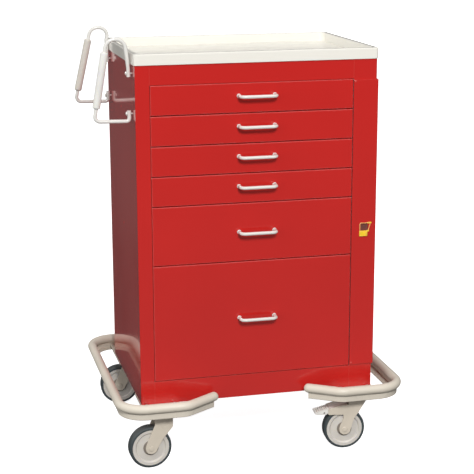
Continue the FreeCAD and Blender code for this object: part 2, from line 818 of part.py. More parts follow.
def axle_bolt():
    """The axle with a round head and a nut outside the fork's legs."""
    x, z = -d.trail, d.wheel_radius
    shaft = rod("axle_shaft", "axle_radius", "2 * fork_half_width", (x, -d.fork_half_width, z), "Y")
    head = rod("axle_head_disc", "axle_head_radius", "axle_head",
               (x, -d.fork_half_width - d.axle_head, z), "Y")
    nut = rod("axle_nut_disc", "axle_nut_radius", "axle_nut", (x, d.fork_half_width, z), "Y")
    return fuse("axle_whole", [shaft, head, nut])


def wheel_core():
    """The wheel's moulded centre: an outer ring, a dished web and a hub with a bore."""
    bore = d.axle_radius + d.running_gap
    hub, hub_half = d.hub_radius, d.hub_half_width
    rim, half = d.rim_radius, d.tyre_half_width
    ring = rim - d.rim_wall
    profile = [(bore, -hub_half), (hub, -hub_half, 1.5), (hub + 1, 2 - half, 2),
               (ring - 3, 4 - half, 2), (ring, 0.5 - half, 1.5), (rim, 0.5 - half),
               (rim, half - 0.5), (ring, half - 0.5, 1.5), (ring - 3, half - 4, 2),
               (hub + 1, half - 2, 2), (hub, hub_half, 1.5), (bore, hub_half)]
    return turned("wheel_core", profile)


def tyre():
    rim, outer, half = d.rim_radius, d.wheel_radius, d.tyre_half_width
    soft = d.tyre_shoulder
    return turned("tyre_ring", [(rim, -half), (outer, -half, soft), (outer, half, soft),
                                (rim, half)])


def brake_pedal():
    """The brake lever: it pivots on a cross pin, has ribs where the toe presses, and its
    underside follows the tread a little way off, so that it rubs on it when pressed."""
    lever = [(-27, 128, 3), (-50, 126, 15), (-90, 115.8, 30), (-117.5, 108.6, 2.5),
             (-119, 104, 2), (-112, 101.8, 3), (-88, 100.5, 2), (-85, 102.6), (-80, 106.6),
             (-76, 109.1), (-70, 112.3), (-60, 115.7), (-50, 117.2), (-40, 117.2), (-27, 116.5, 3)]
    body = doc.addObject("PartDesign::Body", "pedal_body")
    pad(body, "pedal_lever", "XZ_Plane", outline(lever), "2 * pedal_half_width", midplane=True)
    tools = [rod("pedal_bore", "pedal_pin_radius + running_gap", "4 * fork_half_width",
                 (d.pedal_pin_x, -2 * d.fork_half_width, d.pedal_pin_z), "Y")]
    crest, toe = lever[2], lever[3]
    slope = (crest[1] - toe[1]) / (crest[0] - toe[0])
    for step in range(PEDAL_RIBS):
        x = d.pedal_rib_start - d.pedal_rib_pitch * step
        level = crest[1] + slope * (x - crest[0])
        tools.append(block(f"pedal_groove_{step}",
                           ("pedal_rib_gap", "4 * pedal_half_width", "10"),
                           (x, -2 * d.pedal_half_width, level - d.pedal_rib_depth)))
    return cut("pedal_whole", body, tools)


def casters():
    plain_fork = fork_body("fork_plain", False)
    braked_fork = fork_body("fork_braked", True)
    axle = axle_bolt()
    core = wheel_core()
    tread = tyre()
    axle_place = Placement(Vector(-d.trail, 0, d.wheel_radius), Rotation())
    hung = []
    for source in (core, tread):
        held = doc.addObject("Part::Compound", source.Name + "_hung")
        held.Links = [source]
        held.Placement = axle_place
        hung.append(held)
    for label, (side, end) in CORNERS.items():
        place = (f"{side} * caster_x", f"{end} * caster_y")
        turn = "turn_" + label
        fork = braked_fork if label == "front_right" else plain_fork
        publish(f"caster_{label}_fork", [fork, axle], place, turn)
        publish(f"caster_{label}_wheel", [hung[0]], place, turn)
        publish(f"caster_{label}_tyre", [hung[1]], place, turn)
    place = ("caster_x", "-1 * caster_y")
    pin = rod("pedal_pin", "pedal_pin_radius", "2 * fork_half_width",
              (d.pedal_pin_x, -d.fork_half_width, d.pedal_pin_z), "Y")
    publish("caster_brake_pin", [pin], place, "turn_front_right")
    publish("caster_brake_pedal", [brake_pedal()], place, "turn_front_right")


# ---------------------------------------------------------------- lock bar

def knuckle_spans():
    """The hinge's knuckles from the bottom up, fixed and moving ones in turn, with their feet."""
    low, high = OPENING_BOTTOM + d.lock_end_gap, OPENING_TOP - d.lock_end_gap
    pitch = (high - low) / KNUCKLES
    return [("moving" if index % 2 else "fixed", low + index * pitch)
            for index in range(KNUCKLES)]


def lock_parts():
    axis_x = HALF_WIDTH + d.hinge_x
    axis_y = -HALF_DEPTH + d.hinge_y
    spans = knuckle_spans()
    low = spans[0][1]
    opening = f"{sum(DRAWER_UNITS)} * drawer_unit - 2 * lock_end_gap"
    tall = opening + " - hinge_gap"
    knuckle_tall = f"({opening}) / {KNUCKLES} - hinge_gap"
    front = -HALF_DEPTH - d.lock_gap
    face = front - d.lock_gauge
    edge = HALF_WIDTH + d.lock_proud
    clear = d.hinge_radius + d.hinge_gap
    body = doc.addObject("PartDesign::Body", "lock_bar_body")
    fold = [(OPENING_RIGHT - d.lock_edge_lap, face, 1), (edge, face, 2.2),
            (edge, axis_y - clear), (edge - d.bar_wall, axis_y - clear),
            (edge - d.bar_wall, front), (OPENING_RIGHT - d.lock_edge_lap, front)]
    pad(body, "lock_bar_fold", "XY_Plane", outline(fold), tall, low)
    leaf = block("hinge_leaf", ("0.8 * steel", "6 * steel", tall),
                 (HALF_WIDTH, axis_y + clear, low))
    moving, fixed = [body], [leaf]
    for index, (kind, z) in enumerate(spans):
        knuckle = rod(f"knuckle_{index}", "hinge_radius", knuckle_tall, (axis_x, axis_y, z))
        if kind == "fixed":
            tab = block(f"knuckle_tab_{index}",
                        ("0.8 * steel", "hinge_radius + hinge_gap", knuckle_tall),
                        (HALF_WIDTH, axis_y, z))
            fixed += [knuckle, tab]
        else:
            tab = block(f"knuckle_tab_{index}",
                        ("bar_wall", "hinge_radius + hinge_gap", knuckle_tall),
                        (edge - d.bar_wall, axis_y - clear, z))
            moving += [knuckle, tab]
    bore = rod("hinge_bore", "hinge_pin_radius + running_gap", "body_height",
               (axis_x, axis_y, low - 1))
    tight = rod("hinge_tight_bore", "hinge_pin_radius", "body_height", (axis_x, axis_y, low - 1))
    window = block("lock_window", ("window_width", "8 * lock_gauge", "window_height"),
                   (d.window_x - d.window_width / 2, -HALF_DEPTH - 4 * d.lock_gauge,
                    d.window_z - d.window_height / 2))
    publish("lock_bar", [cut("lock_bar_whole", fuse("lock_bar_fused", moving), [bore, window])])
    publish("lock_hinge_leaf", [cut("hinge_leaf_whole", fuse("hinge_leaf_fused", fixed), [tight])])
    pin = rod("hinge_pin_rod", "hinge_pin_radius", tall + " + 2 * hinge_gap",
              (axis_x, axis_y, low - d.hinge_gap))
    publish("lock_hinge_pin", [pin])

    tongue = block("staple_tongue_block", ("3 * steel", "staple_reach", "staple_tongue"),
                   (d.window_x - 1.5 * d.steel, -HALF_DEPTH - d.staple_reach,
                    d.window_z - d.staple_tongue / 2))
    foot = block("staple_foot_block", ("17 * steel", "staple_gauge", "staple_foot"),
                 (d.window_x - 8.5 * d.steel, -HALF_DEPTH - d.staple_gauge,
                  d.window_z - d.staple_foot / 2))
    publish("lock_staple", [fuse("staple_whole", [tongue, foot])])


def breakaway_seal():
    """The plastic seal on the lock bar: a tag, a wire loop round the window and its end flag."""
    face = -HALF_DEPTH - d.lock_gap - d.lock_gauge
    tag_low = d.window_z - d.window_height / 2 - d.seal_tag
    tag_top = tag_low + d.seal_tag
    tag = block("seal_tag_plate", ("window_width + 2", "seal_depth", "seal_tag"),
                (d.window_x - d.window_width / 2 - 4, face - d.seal_depth, tag_low))
    left = d.window_x - d.window_width / 2 - 2.2
    right = d.window_x + d.window_width / 2 + 3.5
    roof = d.window_z + d.window_height / 2 + 2.4
    loop = bent("seal_loop", [(left, tag_top - 2), (left, roof, 3), (right + 3, roof, 3),
                              (right - 3, tag_top - 3)], "seal_wire", "XZ",
                Vector(0, face - d.seal_wire - 0.05, 0))
    flag = block("seal_flag", ("12", "1.4", "4.5"), (right - 6, face - 1.6, roof - 2))
    publish("breakaway_seal", [fuse("seal_whole", [tag, loop, flag])])


# ---------------------------------------------------------------- assembly

side_panel("left_side_panel", -1, d.left_stile)
side_panel("right_side_panel", 1, d.right_stile)
cabinet_sheets()
slide_posts()
work_tray()
fixed_rails()
for drawer, (unit_count, slot_low, _) in enumerate(drawer_slots(), start=1):
    drawer_box(drawer, unit_count, slot_low)
    drawer_front(drawer, unit_count, slot_low)
    drawer_pull(drawer, unit_count, slot_low)
push_handles()
handle_screws()
bumpers()
caster_corner_pieces()
casters()
lock_parts()
breakaway_seal()
doc.recompute()

for item in doc.Objects:
    if "Invalid" in item.State or "Error" in item.State:
        raise RuntimeError(f"{item.Name} failed: {item.State}")
for node in published:
    if node.Shape.isNull() or not node.Shape.isValid():
        raise RuntimeError(node.Label + " has no valid shape")
    if not node.Shape.Solids:
        raise RuntimeError(node.Label + " has no solid")

os.makedirs("parts", exist_ok=True)
for node in published:
    node.Shape.exportStep(f"parts/{node.Label}.step")
print(len(published), "sub-parts written")
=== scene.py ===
import json
import math

import bmesh
import bpy
from mathutils import Matrix, Vector


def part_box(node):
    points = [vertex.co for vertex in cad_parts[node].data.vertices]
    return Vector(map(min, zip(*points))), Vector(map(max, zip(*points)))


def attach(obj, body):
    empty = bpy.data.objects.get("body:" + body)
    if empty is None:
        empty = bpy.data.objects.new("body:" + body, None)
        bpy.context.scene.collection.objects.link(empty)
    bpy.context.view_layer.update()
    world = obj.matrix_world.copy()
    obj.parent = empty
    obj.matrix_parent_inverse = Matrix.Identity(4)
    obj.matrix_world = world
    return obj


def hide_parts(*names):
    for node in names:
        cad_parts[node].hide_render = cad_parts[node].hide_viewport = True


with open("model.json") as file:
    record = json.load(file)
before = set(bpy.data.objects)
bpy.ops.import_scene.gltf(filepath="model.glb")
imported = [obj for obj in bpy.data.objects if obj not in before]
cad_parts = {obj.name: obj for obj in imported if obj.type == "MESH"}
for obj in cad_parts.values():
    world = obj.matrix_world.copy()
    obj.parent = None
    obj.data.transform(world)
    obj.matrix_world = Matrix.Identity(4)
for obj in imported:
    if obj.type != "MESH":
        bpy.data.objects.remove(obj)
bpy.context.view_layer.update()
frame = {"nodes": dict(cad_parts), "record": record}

# Crash cart: finishes, small pieces, light and camera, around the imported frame.
# The frame is in metres. The sizes of the new pieces are in mm, and MM turns them into metres.

MM = 0.001

# ---------------------------------------------------------------- places worked out from the frame

left_low, left_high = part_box("left_side_panel")
right_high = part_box("right_side_panel")[1]
CENTRE_X = (left_low.x + right_high.x) / 2
HALF_WIDTH = (right_high.x - left_low.x) / 2
FRONT_Y = left_low.y
BACK_Y = left_high.y
BODY_LOW = left_low.z
BODY_TOP = left_high.z

# ---------------------------------------------------------------- camera and light

# The camera's place from the floor point under the cabinet's centre, and its turn in degrees.
CAMERA_FROM_CENTRE = Vector((-0.901, -3.6315, 1.4667))
CAMERA_YAW = 13.893
CAMERA_PITCH = 13.749
CAMERA_ROLL = -0.175
LENS_MM = 104.28
SENSOR_MM = 36
CAMERA_REACH = 50

# The soft light from all round, and what each side of the room adds to it.
LIGHT_ALL = 0.18
LIGHT_FRONT = 0.1
LIGHT_ABOVE = 0.1
LIGHT_RIGHT = 0.3
LIGHT_LEFT = 1.2

# Levels along one direction, each as (from, to, level at from, level at to).
LIGHT_BELOW = (-0.25, 0.05, 0.15, 1.0)
GLOSS_ABOVE = (0.1, 0.75, 0.03, 0.95)
GLOSS_BEHIND = (0.1, 0.7, 0.0, 1.0)
GLOSS_BANDS = (0.36, 0.62, 0.0, 0.13)
GLOSS_IN_FRONT = (-0.3, -0.7, 0.0, 1.0)
GLOSS_LOW = (-0.08, -0.42, 0.04, 0.28)
GLOSS_COLOUR = (1, 0.99, 0.97, 1)
BAND_STRETCH = (9.0, 9.0, 0.4)
BAND_SCALE = 1.6
WHITE = (1, 1, 1, 1)

# The two lamps, each a square with its place, width and power, aimed at one point in the cabinet.
LAMPS = {"key": ((-0.3, -4.33, 3.1), 0.8, 172), "top": ((0.2, -0.2, 3.6), 2.6, 2)}
LAMP_AIM_HEIGHT = 0.6

FLOOR_RADIUS = 26
FLOOR_DROP = 0.0005
FLOOR_SIDES = 96
FLOOR_GREY = 0.86
FLOOR_ROUGHNESS = 0.8
FLOOR_GLOW = 0.88

# ---------------------------------------------------------------- finishes

RED = (0.54, 0.0165, 0.0135)

# The part of each noise's range over which its mark fades in.
PATCH_RANGE = (0.3, 0.7)
SPECK_RANGE = (0.55, 0.75)
SMUDGE_RANGE = (0.35, 0.7)

# An edge is lighter where the rounded normal turns from the flat one, partly wear and partly a
# painted highlight: the cosine of the turn where this starts and where it is full, and the same
# for its lean towards one side, where it is only a painted highlight.
EDGE_TURN = (0.985, 0.8)
HIGHLIGHT_LEAN = (0.05, 0.3)
EDGE_LIGHTER = 1.5
BEVEL_SAMPLES = 4

# Scratches, the flakes of galvanised steel, chips and dust: scale, fade-in range and what each
# adds to the roughness.
SCRATCH_STRETCH = (14.0, 14.0, 210.0)
SCRATCH_RANGE = (0.70, 0.76)
SCRATCH_ROUGHNESS = 0.12
FLAKE_TONE, FLAKE_DARK = 0.55, 0.72
FLAKE_ROUGHNESS = (-0.06, 0.1)
CHIP_SCALE, CHIP_RANGE, CHIP_ROUGHNESS = 85.0, (0.6, 0.64), 0.2
DUST_SCALE, DUST_RANGE, DUST_ROUGHNESS = 22.0, (0.35, 0.7), 0.35
DUST_UP = (0.2, 1.0)
SUBSURFACE_RADIUS = (0.004, 0.003, 0.001)

# Finishes of nodes that don't take the one named after their slot.
SPECIAL_FINISH = {
    # The back grip takes a darker copy of the grip vinyl: painted shade.
    "handle_grip_back": "grip_vinyl_shaded",
    # The staple behind the seal's window takes a dark red-brown: painted shade in the window.
    "lock_staple": "shadow_gap",
    "caster_brake_pin": "caster_enamel",
    # The pedal takes a paler copy of the caster enamel: painted light on its tread.
    "caster_brake_pedal": "pedal_enamel_painted_light",
    **{f"drawer_{number}_front": "drawer_front_red" for number in range(1, 7)},
}

# Edges that turn by more than this stay sharp, in degrees.
CAD_SHARP_ANGLE = 32
PIECE_SHARP_ANGLE = 35

# ---------------------------------------------------------------- sizes of the new pieces, in mm

# Casters: the kingpin's place from the cabinet's centre, the turn at rest in degrees, the signs of
# the corner's x and y, the axle's distance from the kingpin, the wheel and half the fork's width.
CASTER_X, CASTER_Y = 271, 251
CASTER_TURNS = {"front_left": 2, "front_right": -5, "back_left": -4, "back_right": 5}
CORNERS = {"front_left": (-1, -1), "front_right": (1, -1), "back_left": (-1, 1),
           "back_right": (1, 1)}
TRAIL, WHEEL_RADIUS, FORK_HALF = 35.5, 57, 22

# Carriage bolts from the kingpin, down through bracket and plate to a nut. Heads are (radius,
# height) and nuts (corner radius, height), here and below.
BOLT_X, BOLT_Y = 37.5, 19.4
BOLT_STACK = 9
BOLT_HEAD = (5.5, 4.3)
BOLT_RADIUS, BOLT_TIP_RADIUS = 2.9, 2.3
BOLT_PAST_STACK, BOLT_TIP = 3.9, 0.7
BOLT_NUT = (5.6, 3.5)
SMALL_SIDES = 16

# Handle screws: their drops from the cabinet's top, the head's place in from their outer end, and
# how much shorter than the CAD ones the shanks are.
SCREW_DROPS = (24, 127)
SCREW_SEAT = 4.7
SCREW_HEAD = (5.2, 3.9)
SCREW_RADIUS = 2.1
SCREW_SHORTER = 5

# Lock bar: its rivets' places, and the lip along its inner edge (across the bar, and how far its
# front and back stand before the cabinet's front).
BAR_RIVET_X = 262
BAR_RIVET_HEIGHTS = (234, 1008.5)
BAR_RIVET = (2.6, 1.3)
BAR_RIVET_SUNK = 0.2
LIP_ACROSS = (0.05, 1.2)
LIP_PROUD = (1.5, 0.3)
LIP_END_GAP = 0.6
LIP_SOFT = 0.3

# Back rivets: their distance in from the cabinet's sides and from its ends.
BACK_RIVET_IN = 10
BACK_RIVET_END = 60
BACK_RIVET_ROWS = 6
BACK_RIVET = (4.2, 1.7)
BACK_RIVET_SUNK = 0.1

# Seal, from its lower left corner: the tag, its raised frame and its ribs.
TAG_WIDTH, TAG_HEIGHT, TAG_SUNK, TAG_SOFT = 23, 15.4, 0.6, 1.3
TAG_FRAME_IN, TAG_FRAME_WIDTH, TAG_FRAME_SOFT = 1.6, 1, 0.3
TAG_RELIEF = 1
TAG_RIBS, TAG_RIB_X, TAG_RIB_PITCH, TAG_RIB_WIDTH = 4, 16.6, 0.9, 0.45
TAG_RIB_HEIGHTS, TAG_RIB_SUNK, TAG_RIB_SOFT = (4, 11.4), 0.1, 0.18
# Two end flags: low and high corner, as (x, distance before the seal's back, z), and softness.
FLAGS = (((21, 2.6, 12.2), (27.6, 0.3, 16.6), 0.7), ((22.4, 1.6, 34), (34.4, 0.2, 38.4), 0.5))
# The loop round the window, as (x, distance before the loop's own plane, z).
LOOP = ((1.9, 0, 14), (1.7, 0, 24), (1.6, 0, 33), (2.0, 0, 35.9), (5.5, 0.6, 36.6),
        (13, 1.2, 36.0), (20, 0.8, 36.8), (28, 0.3, 37.0), (31.0, 0, 35.6), (29.6, 0, 29),
        (27, 0, 21), (25.2, 0, 14))
LOOP_DEPTH, LOOP_RADIUS = 1.0, 1.05

# Axle ends: profiles are (radius, distance along the axle), and the nut is (corner radius,
# height, bore).
AXLE_SIDES = 36
WASHER = ((4, 0), (10.5, 0), (10.5, 0.9), (10.1, 1.2), (4, 1.2))
WASHER_SUNK, NUT_LIFT = 0.1, 1.1
AXLE_NUT = (8.0, 5.4, 4.0)
AXLE_TIP = ((0, 5.6), (3.2, 5.6), (3.9, 5.0), (3.9, 2), (0, 2))
AXLE_TIP_SIDES = 24
AXLE_HEAD, AXLE_HEAD_PLACE = (7.2, 0.9), 0.9
# GUARD is a dark ring round the wheel's hub: painted shade in the recess round the axle boss.
GUARD = ((13.6, 0), (13.6, 1.3), (14.6, 1.7), (19.4, 1.7), (20.4, 1.1), (20.6, 0), (13.6, 0))
GUARD_FACE = 13.8
GUARD_SIDES = 40

# Brake pedal, in its caster's frame: the rivet's place, the ribs' half sizes, and the point and
# slope of the tread that they follow.
PEDAL_RIVET_X, PEDAL_RIVET_HALF, PEDAL_RIVET_Z = -92.5, 17.3, 106.2
PEDAL_RIVET = (2.3, 1.1)
RIBS, RIB_X, RIB_PITCH = 7, -82.6, 5.5
RIB_HALF, RIB_SOFT = (1.5, 16.4, 1.2), 0.8
PEDAL_X, PEDAL_Z, PEDAL_SLOPE = -90, 115.8, 0.2618
RIB_TILT = 0.26


# ---------------------------------------------------------------- shader nodes

class Tree:
    """A short way to add and join shader nodes."""

    def __init__(self, owner):
        owner.use_nodes = True
        self.nodes = owner.node_tree.nodes
        self.links = owner.node_tree.links

    def feed(self, socket, value):
        """Links another node's output to a socket, or sets it to a plain value."""
        if isinstance(value, bpy.types.NodeSocket):
            self.links.new(value, socket)
        else:
            socket.default_value = value

    def add(self, kind, inputs=None, **settings):
        node = self.nodes.new(kind)
        for name, value in settings.items():
            setattr(node, name, value)
        for name, value in (inputs or {}).items():
            self.feed(node.inputs[name], value)
        return node

    def maths(self, operation, first, second):
        return self.add("ShaderNodeMath", {0: first, 1: second}, operation=operation).outputs[0]

    def times(self, first, second):
        return self.maths("MULTIPLY", first, second)

    def plus(self, first, second):
        return self.maths("ADD", first, second)

    def vector(self, operation, first, second):
        return self.add("ShaderNodeVectorMath", {0: first, 1: second}, operation=operation)

    def ranged(self, value, low, high, to_low=0.0, to_high=1.0):
        return self.add("ShaderNodeMapRange", {"Value": value, "From Min": low, "From Max": high,
                                               "To Min": to_low, "To Max": to_high}).outputs[0]

    def noise(self, place, scale, detail, roughness=0.5):
        return self.add("ShaderNodeTexNoise", {"Vector": place, "Scale": scale, "Detail": detail,
                                               "Roughness": roughness}).outputs[0]

    def mixed(self, factor, first, second):
        """A blend of two colours. A mix node has one set of sockets for each type of data."""
        node = self.add("ShaderNodeMix", data_type="RGBA")
        self.feed(node.inputs[0], factor)
        self.feed(node.inputs[6], first)
        self.feed(node.inputs[7], second)
        return node.outputs[2]


# ---------------------------------------------------------------- camera, light and floor

def add_camera():
    data = bpy.data.cameras.new("camera")
    data.lens = LENS_MM
    data.sensor_width = SENSOR_MM
    data.clip_end = CAMERA_REACH
    camera = bpy.data.objects.new("camera", data)
    bpy.context.scene.collection.objects.link(camera)
    turn = (Matrix.Rotation(math.radians(-CAMERA_YAW), 4, "Z")
            @ Matrix.Rotation(math.radians(90 - CAMERA_PITCH), 4, "X")
            @ Matrix.Rotation(math.radians(CAMERA_ROLL), 4, "Z"))
    place = CAMERA_FROM_CENTRE + Vector((CENTRE_X, 0, 0))
    camera.matrix_world = Matrix.Translation(place) @ turn
    bpy.context.scene.camera = camera


def add_lamps():
    for name, (place, width, power) in LAMPS.items():
        data = bpy.data.lights.new(name, "AREA")
        data.shape = "RECTANGLE"
        data.size = data.size_y = width
        data.energy = power
        lamp = bpy.data.objects.new(name, data)
        bpy.context.scene.collection.objects.link(lamp)
        lamp.location = Vector(place)
        aim = Vector((CENTRE_X, 0, LAMP_AIM_HEIGHT)) - Vector(place)
        lamp.rotation_euler = aim.to_track_quat("-Z", "Y").to_euler()


def add_world():
    """A white room for the camera, a soft one for light and a darker, banded one for gloss."""
    world = bpy.data.worlds.new("studio")
    bpy.context.scene.world = world
    tree = Tree(world)
    tree.nodes.clear()
    ray = tree.add("ShaderNodeLightPath")
    place = tree.add("ShaderNodeTexCoord").outputs["Generated"]
    x, y, z = tree.add("ShaderNodeSeparateXYZ", {0: place}).outputs

    light = LIGHT_ALL
    for toward, level in ((tree.times(y, -1.0), LIGHT_FRONT), (z, LIGHT_ABOVE), (x, LIGHT_RIGHT),
                          (tree.times(x, -1.0), LIGHT_LEFT)):
        light = tree.plus(light, tree.times(tree.maths("MAXIMUM", toward, 0.0), level))
    light = tree.times(light, tree.ranged(z, *LIGHT_BELOW))

    stretched = tree.vector("MULTIPLY", place, BAND_STRETCH).outputs[0]
    bands = tree.noise(stretched, BAND_SCALE, 2.0)
    behind = tree.times(tree.ranged(y, *GLOSS_BEHIND), tree.ranged(bands, *GLOSS_BANDS))
    low_front = tree.times(tree.ranged(z, *GLOSS_LOW), tree.ranged(y, *GLOSS_IN_FRONT))
    gloss = tree.plus(tree.plus(tree.ranged(z, *GLOSS_ABOVE), behind), low_front)

    seen = tree.add("ShaderNodeBackground", {"Color": WHITE, "Strength": 1.0})
    lit = tree.add("ShaderNodeBackground", {"Color": WHITE, "Strength": light})
    shiny = tree.add("ShaderNodeBackground", {"Color": GLOSS_COLOUR, "Strength": gloss})
    inner = tree.add("ShaderNodeMixShader", {0: ray.outputs["Is Glossy Ray"],
                                             1: lit.outputs[0], 2: shiny.outputs[0]})
    outer = tree.add("ShaderNodeMixShader", {0: ray.outputs["Is Camera Ray"],
                                             1: inner.outputs[0], 2: seen.outputs[0]})
    tree.add("ShaderNodeOutputWorld", {0: outer.outputs[0]})


def floor_material():
    material = bpy.data.materials.new("floor_paper")
    shader = Tree(material).nodes["Principled BSDF"]
    shader.inputs["Base Color"].default_value = (FLOOR_GREY, FLOOR_GREY, FLOOR_GREY, 1)
    shader.inputs["Roughness"].default_value = FLOOR_ROUGHNESS
    shader.inputs["Specular IOR Level"].default_value = 0.0
    shader.inputs["Emission Color"].default_value = WHITE
    shader.inputs["Emission Strength"].default_value = FLOOR_GLOW
    return material


def add_floor():
    """White paper that takes the cart's shadow and doesn't light or mirror itself in the cart."""
    bpy.ops.mesh.primitive_circle_add(vertices=FLOOR_SIDES, radius=FLOOR_RADIUS,
                                      fill_type="NGON", location=(CENTRE_X, 0, -FLOOR_DROP))
    floor = bpy.context.object
    floor.name = "floor"
    floor.visible_glossy = False
    floor.visible_diffuse = False
    floor.data.materials.append(floor_material())


# ---------------------------------------------------------------- materials

def tinted(colour, factor):
    return tuple(min(1.0, channel * factor) for channel in colour) + (1.0,)


def spangled(tree, place, cells, colour, tone, rough):
    """The flakes of galvanised steel."""
    flakes = tree.add("ShaderNodeTexVoronoi", {"Vector": place, "Scale": cells})
    grey = tree.add("ShaderNodeSeparateColor", {0: flakes.outputs["Color"]}).outputs[0]
    tone = tree.mixed(tree.ranged(grey, 0.0, 1.0, 0.0, FLAKE_TONE), tone,
                      tinted(colour, FLAKE_DARK))
    return tone, tree.plus(rough, tree.ranged(grey, 0.0, 1.0, *FLAKE_ROUGHNESS))


def scratched(tree, place, rough):
    """Fine level scratches that show in the gloss only."""
    stretched = tree.vector("MULTIPLY", place, SCRATCH_STRETCH).outputs[0]
    scratches = tree.ranged(tree.noise(stretched, 1.0, 3.0, 0.7), *SCRATCH_RANGE)
    return tree.plus(rough, tree.times(scratches, SCRATCH_ROUGHNESS))


def rim_of(tree, rounded, flat, side):
    """Where the rounded normal leans from the flat one: on all edges, or, for a painted highlight,
    only on those facing a side.
    """
    turn = tree.vector("DOT_PRODUCT", rounded, flat).outputs["Value"]
    rim = tree.ranged(turn, *EDGE_TURN)
    # Only the edges facing the given side keep the painted highlight.
    if side:
        lean = tree.vector("SUBTRACT", rounded, flat).outputs[0]
        lean = tree.vector("DOT_PRODUCT", lean, side).outputs["Value"]
        rim = tree.times(rim, tree.ranged(lean, *HIGHLIGHT_LEAN))
    return rim


def chipped(tree, place, rim, amount, colour, tone, rough):
    """Small chips through the paint along the edges."""
    breaks = tree.ranged(tree.noise(place, CHIP_SCALE, 5.0, 0.7), *CHIP_RANGE)
    bare = tree.times(tree.times(rim, breaks), amount)
    tone = tree.mixed(bare, tone, (*colour, 1.0))
    return tone, tree.plus(rough, tree.times(bare, CHIP_ROUGHNESS))


def dusted(tree, place, flat, amount, colour, tone, rough):
    """A film of dust on what faces up."""
    up = tree.add("ShaderNodeSeparateXYZ", {0: flat}).outputs[2]
    film = tree.times(tree.ranged(up, *DUST_UP),
                      tree.ranged(tree.noise(place, DUST_SCALE, 4.0, 0.65), *DUST_RANGE))
    film = tree.times(film, amount)
    tone = tree.mixed(film, tone, (*colour, 1.0))
    return tone, tree.plus(rough, tree.times(film, DUST_ROUGHNESS))


def finish(name, colour, roughness, metallic=0.0, coat=0.0, coat_roughness=0.04,
           patch=(4.0, 0.05), speckle=(900.0, 0.03), smudge=(9.0, 0.08), grain=(500.0, 0.00004),
           edge=(0.0012, 0.35), edge_tint=None, highlight_side=None, chips=0.0,
           chip_colour=(0.3, 0.3, 0.3), dust=0.0, dust_colour=(0.55, 0.52, 0.48), cells=None,
           subsurface=0.0):
    """A surface with patches, specks, smudges, grain and lighter edges, all from its place.

    patch, speckle and smudge are (scale, strength), grain is (scale, depth in metres) and edge is
    (width in metres, strength).
    """
    material = bpy.data.materials.new(name)
    tree = Tree(material)
    shader = tree.nodes["Principled BSDF"]
    shader.inputs["Metallic"].default_value = metallic
    shader.inputs["Coat Weight"].default_value = coat
    shader.inputs["Coat Roughness"].default_value = coat_roughness
    shader.inputs["Subsurface Weight"].default_value = subsurface
    shader.inputs["Subsurface Radius"].default_value = SUBSURFACE_RADIUS
    place = tree.add("ShaderNodeTexCoord").outputs["Object"]
    rounded = tree.add("ShaderNodeBevel", {"Radius": edge[0]}, samples=BEVEL_SAMPLES).outputs[0]
    flat = tree.add("ShaderNodeNewGeometry").outputs["True Normal"]

    broad = tree.noise(place, patch[0], 3.0)
    tone = tree.mixed(tree.ranged(broad, *PATCH_RANGE), tinted(colour, 1 - patch[1]),
                      tinted(colour, 1 + patch[1]))
    fine = tree.noise(place, speckle[0], 2.0)
    tone = tree.mixed(tree.ranged(fine, *SPECK_RANGE, 0.0, 10 * speckle[1]), tone,
                      tinted(colour, 1 - 4 * speckle[1]))
    smear = tree.noise(place, smudge[0], 4.0, 0.6)
    rough = tree.ranged(smear, *SMUDGE_RANGE, roughness, roughness + smudge[1])
    if cells:
        tone, rough = spangled(tree, place, cells, colour, tone, rough)
    rough = scratched(tree, place, rough)
    # The lighter edges are partly wear and partly a painted highlight.
    rim = rim_of(tree, rounded, flat, highlight_side)
    tone = tree.mixed(tree.times(rim, edge[1]), tone,
                      (*edge_tint, 1.0) if edge_tint else tinted(colour, EDGE_LIGHTER))
    if chips:
        tone, rough = chipped(tree, place, rim, chips, chip_colour, tone, rough)
    if dust:
        tone, rough = dusted(tree, place, flat, dust, dust_colour, tone, rough)

    height = tree.noise(place, grain[0], 2.0)
    bump = tree.add("ShaderNodeBump", {"Strength": 1.0, "Distance": grain[1], "Height": height,
                                       "Normal": rounded})
    tree.links.new(tone, shader.inputs["Base Color"])
    tree.links.new(rough, shader.inputs["Roughness"])
    tree.links.new(bump.outputs[0], shader.inputs["Normal"])
    return material


